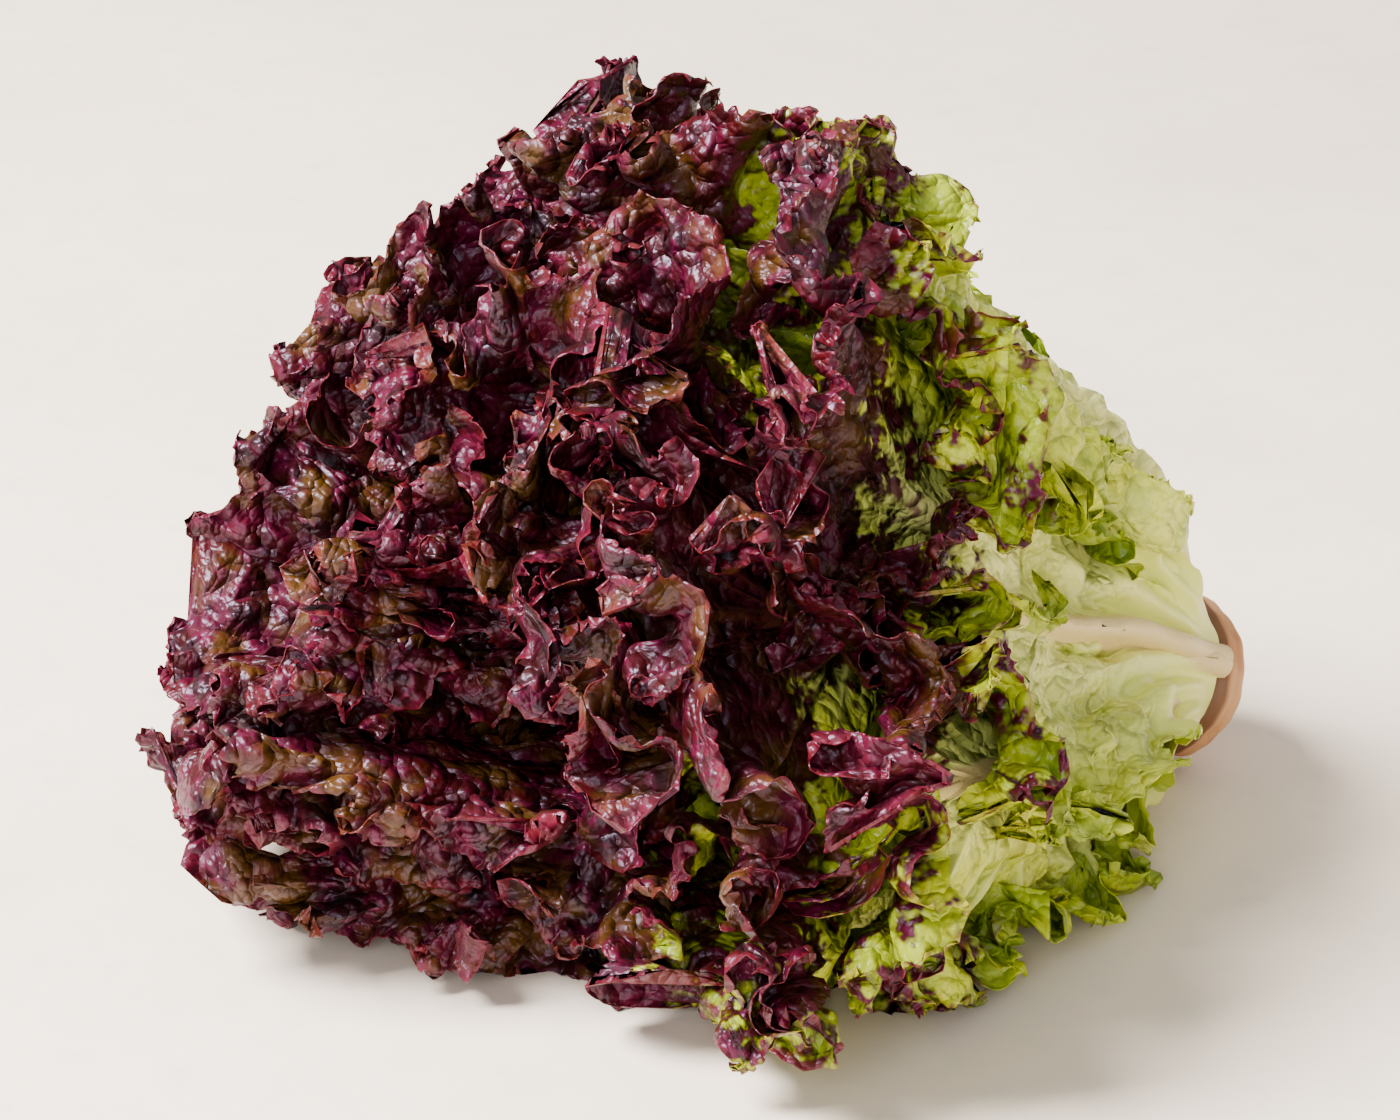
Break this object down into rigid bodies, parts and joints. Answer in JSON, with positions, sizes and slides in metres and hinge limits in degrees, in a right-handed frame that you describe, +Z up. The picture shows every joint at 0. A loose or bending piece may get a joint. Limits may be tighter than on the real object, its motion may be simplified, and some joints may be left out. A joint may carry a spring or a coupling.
{
  "type": "red leaf lettuce",
  "caption": "Head of red leaf lettuce lying on its side, with ruffled dark red leaves, pale leaf bases and a short cut stem.",
  "frame": {"origin": "on the surface that the head lies on, under the middle of its box", "axes": "+X towards the cut end of the stem, +Z up; the crown of leaves faces -X, and the picture's camera looks from -X and -Y"},
  "size_m": [0.2544, 0.2264, 0.1758],
  "materials": {
    "leaf_blade": "satin",
    "stem_flesh": "matt"
  },
  "bodies": {
    "root": {"stem": "stem_flesh", "leaf_01": "leaf_blade", "leaf_02": "leaf_blade", "leaf_03": "leaf_blade", "leaf_04": "leaf_blade", "leaf_05": "leaf_blade", "leaf_06": "leaf_blade", "leaf_07": "leaf_blade", "leaf_08": "leaf_blade", "leaf_09": "leaf_blade", "leaf_10": "leaf_blade", "leaf_11": "leaf_blade", "leaf_12": "leaf_blade", "leaf_13": "leaf_blade", "leaf_14": "leaf_blade", "leaf_15": "leaf_blade", "leaf_16": "leaf_blade", "leaf_17": "leaf_blade", "leaf_18": "leaf_blade", "leaf_19": "leaf_blade", "leaf_20": "leaf_blade", "leaf_21": "leaf_blade", "leaf_22": "leaf_blade", "leaf_23": "leaf_blade", "leaf_24": "leaf_blade", "leaf_25": "leaf_blade", "leaf_26": "leaf_blade", "leaf_27": "leaf_blade"}
  },
  "joints": []
}
